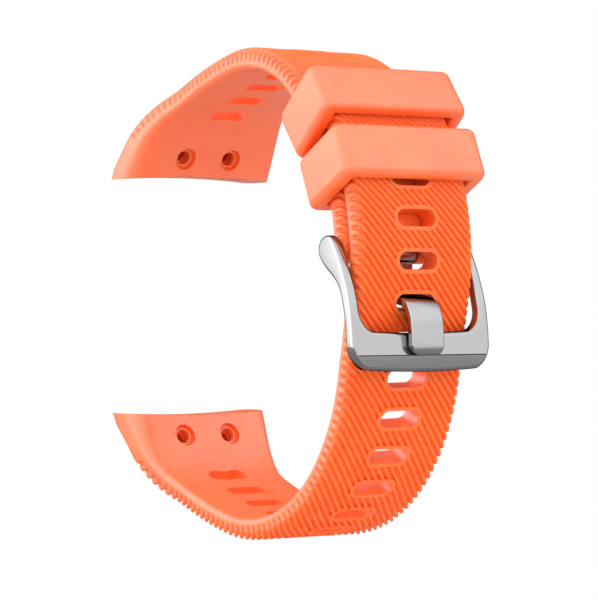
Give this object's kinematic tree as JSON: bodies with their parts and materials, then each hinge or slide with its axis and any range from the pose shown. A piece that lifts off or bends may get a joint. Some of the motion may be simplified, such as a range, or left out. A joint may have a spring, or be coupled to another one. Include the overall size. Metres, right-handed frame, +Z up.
{
  "type": "watch strap",
  "caption": "Closed silicone watch strap with ribbed outer faces, slots, two keepers and a steel pin buckle.",
  "frame": {"origin": "on the wrist axis, midway between the two lug ends in height", "axes": "+X towards the buckle, Y along the wrist axis, +Z up towards the buckle half's lug"},
  "size_m": [0.0644, 0.0264, 0.0718],
  "materials": {
    "silicone": "moulded matte silicone rubber, orange",
    "brushed_steel": "satin brushed stainless steel with softened edges",
    "polished_steel": "drawn and turned stainless steel",
    "spring_wire": "spring steel wire",
    "insert_brass": "turned and tapped brass"
  },
  "bodies": {
    "strap": {"buckle_strap": "silicone", "tail_strap": "silicone", "upper_lug": "silicone", "lower_lug": "silicone", "upper_insert_left": "insert_brass", "upper_insert_right": "insert_brass", "lower_insert_left": "insert_brass", "lower_insert_right": "insert_brass", "bar_tube": "polished_steel", "bar_spring": "spring_wire"},
    "frame": {"buckle_frame": "brushed_steel"},
    "tongue": {"buckle_tongue": "brushed_steel"},
    "upper_band": {"upper_keeper": "silicone"},
    "lower_band": {"lower_keeper": "silicone"},
    "tip_left": {"bar_tip_left": "polished_steel"},
    "tip_right": {"bar_tip_right": "polished_steel"}
  },
  "joints": [
    {"name": "buckle_swing", "type": "hinge", "parent": "strap", "child": "frame", "pos_m": [0.02348, 0, 0.00635], "axis": [0, -1, 0], "range_deg": [0, 1.5]},
    {"name": "tongue_lift", "type": "hinge", "parent": "frame", "child": "tongue", "pos_m": [0.02348, 0, 0.00635], "axis": [0, -1, 0], "range_deg": [0, 1]},
    {"name": "upper_keeper_slide", "type": "hinge", "parent": "strap", "child": "upper_band", "pos_m": [-0.0119, 0, 0.003], "axis": [0, -1, 0], "range_deg": [0, 4.5]},
    {"name": "lower_keeper_slide", "type": "hinge", "parent": "strap", "child": "lower_band", "pos_m": [-0.0119, 0, 0.003], "axis": [0, -1, 0], "range_deg": [-5.5, 0]},
    {"name": "tip_left_press", "type": "slide", "parent": "strap", "child": "tip_left", "axis": [0, 1, 0], "range_m": [0, 0.0011], "stiffness_N_per_m": 500, "springref_m": -0.0005, "deforming": ["bar_spring"]},
    {"name": "tip_right_press", "type": "slide", "parent": "strap", "child": "tip_right", "axis": [0, -1, 0], "range_m": [0, 0.0011], "stiffness_N_per_m": 500, "springref_m": -0.0005, "deforming": ["bar_spring"]}
  ]
}
